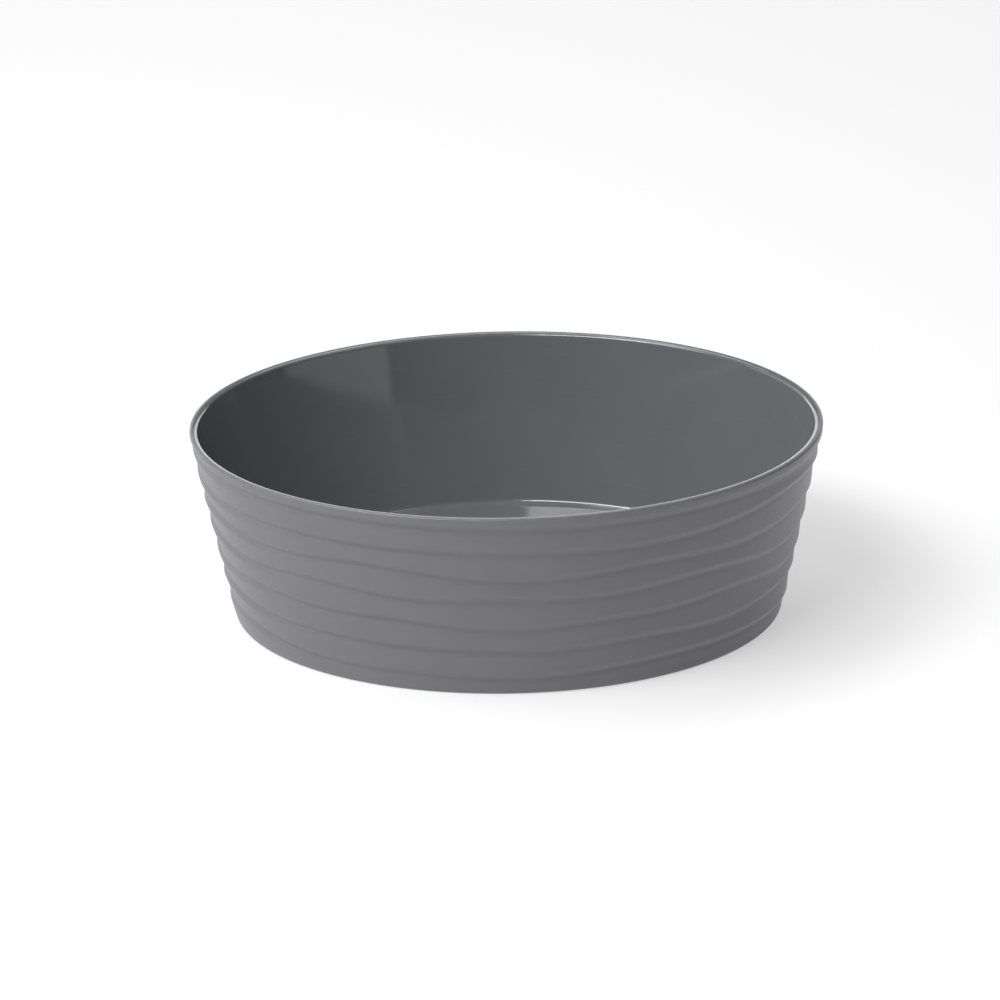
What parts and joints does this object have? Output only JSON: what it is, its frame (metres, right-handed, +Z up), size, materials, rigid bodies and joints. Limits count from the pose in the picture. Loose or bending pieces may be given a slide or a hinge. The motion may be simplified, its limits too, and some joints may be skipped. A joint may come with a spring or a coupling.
{
  "type": "bowl",
  "caption": "Round shallow flared bowl moulded in one piece, with wavy lapped bands round the outside, a rounded rim, a smooth inside and a flat floor on a foot ring.",
  "frame": {"origin": "centre of the foot ring, on the plane that the bowl stands on", "axes": "+Z up out of the bowl's mouth; -Y is the side whose band waves follow the reference view; +X to the right of it"},
  "size_m": [0.29, 0.29, 0.088],
  "materials": {
    "grey_plastic": "satin moulded polypropylene, mid grey with a slightly cool tone, smoother and glossier on the inside"
  },
  "bodies": {
    "root": {"bowl": "grey_plastic"}
  },
  "joints": []
}
